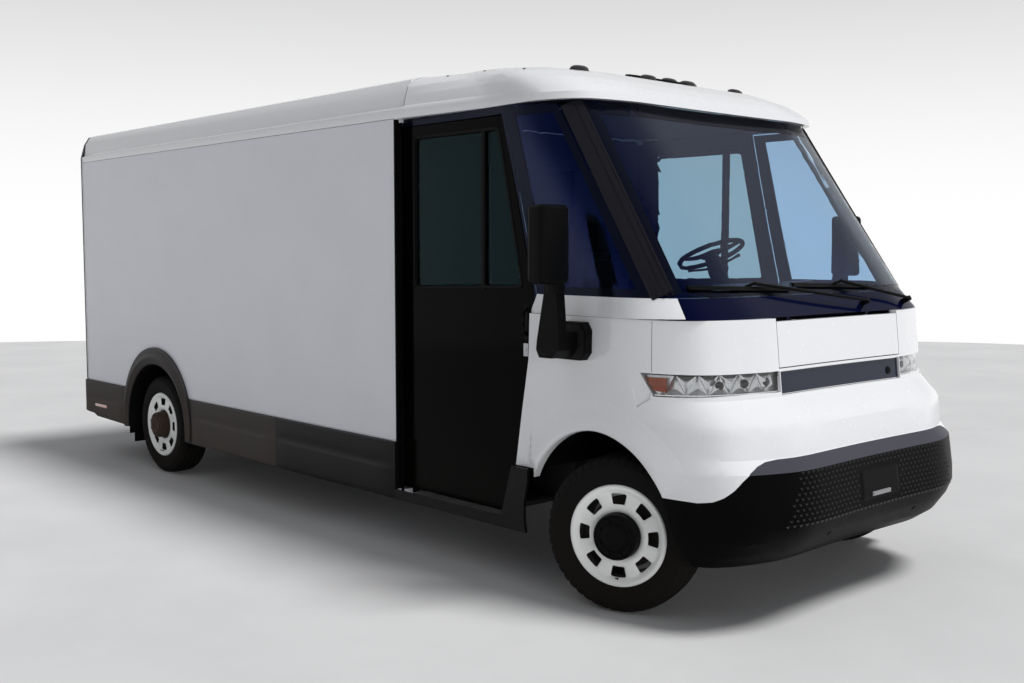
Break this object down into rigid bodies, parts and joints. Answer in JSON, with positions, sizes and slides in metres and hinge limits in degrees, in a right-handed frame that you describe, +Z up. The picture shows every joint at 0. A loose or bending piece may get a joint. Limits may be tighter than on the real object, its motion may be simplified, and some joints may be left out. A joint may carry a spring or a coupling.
{
  "type": "electric delivery van",
  "caption": "Walk-in electric delivery van with a box cargo body, sliding cab doors, a raked windscreen and steered front wheels.",
  "frame": {"origin": "on the ground under the middle of the van's length and width", "axes": "+X forward, +Y to the van's left, +Z up"},
  "size_m": [6.7655, 2.68, 2.6519],
  "materials": {
    "white_paint": "gloss",
    "panel_white": "satin",
    "black_paint": "gloss",
    "cladding_plastic": "matt",
    "black_plastic": "matt",
    "glass_blue": "tinted",
    "lamp_glass": "clear",
    "bar_glass": "gloss",
    "smoked_lamp": "gloss",
    "red_lamp": "gloss",
    "chassis_steel": "satin",
    "battery_case": "satin",
    "floor_board": "satin",
    "interior_grey": "matt",
    "seat_fabric": "woven",
    "wheel_white": "satin",
    "tyre_rubber": "matt",
    "knuckle_iron": "rough",
    "door_aluminium": "satin"
  },
  "bodies": {
    "body": {"chassis_frame": "chassis_steel", "battery_pack": "battery_case", "front_suspension": "chassis_steel", "rear_axle": "chassis_steel", "floor": "floor_board", "entry_steps": "floor_board", "cargo_wall_right": "panel_white", "cargo_wall_left": "panel_white", "cargo_roof": "white_paint", "rear_frame": "black_paint", "rear_door": "door_aluminium", "rear_bumper": "black_plastic", "tail_lamps": "red_lamp", "bulkhead": "interior_grey", "nose_panel": "white_paint", "lower_bumper": "cladding_plastic", "headlamps": "lamp_glass", "light_bar": "bar_glass", "cab_frame": "black_paint", "windscreen": "glass_blue", "quarter_glass": "glass_blue", "cab_roof": "white_paint", "marker_lamps": "smoked_lamp", "wipers": "black_plastic", "mirrors": "black_plastic", "cladding": "cladding_plastic", "arch_liners": "black_plastic", "dashboard": "interior_grey", "steering_column": "interior_grey", "seats": "seat_fabric"},
    "door_right": {"cab_door_right": "black_paint", "door_glass_right": "glass_blue"},
    "door_left": {"cab_door_left": "black_paint", "door_glass_left": "glass_blue"},
    "bulkhead_door": {"bulkhead_door": "interior_grey"},
    "hood": {"hood": "white_paint"},
    "charge_flap": {"charge_flap": "white_paint"},
    "steering_wheel": {"steering_wheel": "black_plastic"},
    "knuckle_right": {"knuckle_right": "knuckle_iron"},
    "knuckle_left": {"knuckle_left": "knuckle_iron"},
    "wheel_front_right": {"rim_front_right": "wheel_white", "tyre_front_right": "tyre_rubber"},
    "wheel_front_left": {"rim_front_left": "wheel_white", "tyre_front_left": "tyre_rubber"},
    "wheel_rear_right": {"rim_rear_right": "wheel_white", "tyre_rear_right": "tyre_rubber"},
    "wheel_rear_left": {"rim_rear_left": "wheel_white", "tyre_rear_left": "tyre_rubber"}
  },
  "joints": [
    {"name": "steer_left", "type": "hinge", "parent": "body", "child": "knuckle_left", "pos_m": [2.583, 0.866, 0.365], "axis": [0, 0, 1], "range_deg": [-55, 15]},
    {"name": "steer_right", "type": "hinge", "parent": "body", "child": "knuckle_right", "pos_m": [2.583, -0.866, 0.365], "axis": [0, 0, 1], "range_deg": [-55, 15]},
    {"name": "steering_wheel_turn", "type": "hinge", "parent": "body", "child": "steering_wheel", "pos_m": [1.985, 0.48, 1.64], "axis": [-0.42, 0, 0.9075], "range_deg": [-880, 240]},
    {"name": "wheel_front_right_spin", "type": "hinge", "parent": "knuckle_right", "child": "wheel_front_right", "pos_m": [2.61036, -0.94117, 0.365], "axis": [-0.342, 0.9397, 0], "continuous": true},
    {"name": "wheel_front_left_spin", "type": "hinge", "parent": "knuckle_left", "child": "wheel_front_left", "pos_m": [2.55564, 0.94117, 0.365], "axis": [-0.342, 0.9397, 0], "continuous": true},
    {"name": "wheel_rear_right_spin", "type": "hinge", "parent": "body", "child": "wheel_rear_right", "pos_m": [-1.977, -0.946, 0.365], "axis": [0, 1, 0], "continuous": true},
    {"name": "wheel_rear_left_spin", "type": "hinge", "parent": "body", "child": "wheel_rear_left", "pos_m": [-1.977, 0.946, 0.365], "axis": [0, 1, 0], "continuous": true},
    {"name": "door_right_slide", "type": "slide", "parent": "body", "child": "door_right", "axis": [-1, 0, 0], "range_m": [0, 0.8]},
    {"name": "door_left_slide", "type": "slide", "parent": "body", "child": "door_left", "axis": [-1, 0, 0], "range_m": [0, 0.8]},
    {"name": "bulkhead_door_slide", "type": "slide", "parent": "body", "child": "bulkhead_door", "axis": [0, 1, 0], "range_m": [0, 0.57]},
    {"name": "hood_hinge", "type": "hinge", "parent": "body", "child": "hood", "pos_m": [3.085, 0, 1.345], "axis": [0, -1, 0], "range_deg": [0, 50]},
    {"name": "charge_flap_hinge", "type": "hinge", "parent": "body", "child": "charge_flap", "pos_m": [2.5425, 1.0613, 1.04], "axis": [0, 0, 1], "range_deg": [0, 100]}
  ],
  "couplings": [
    {"joint": "steer_right", "follows": "steer_left", "ratio": 1},
    {"joint": "steering_wheel_turn", "follows": "steer_left", "ratio": 16}
  ]
}
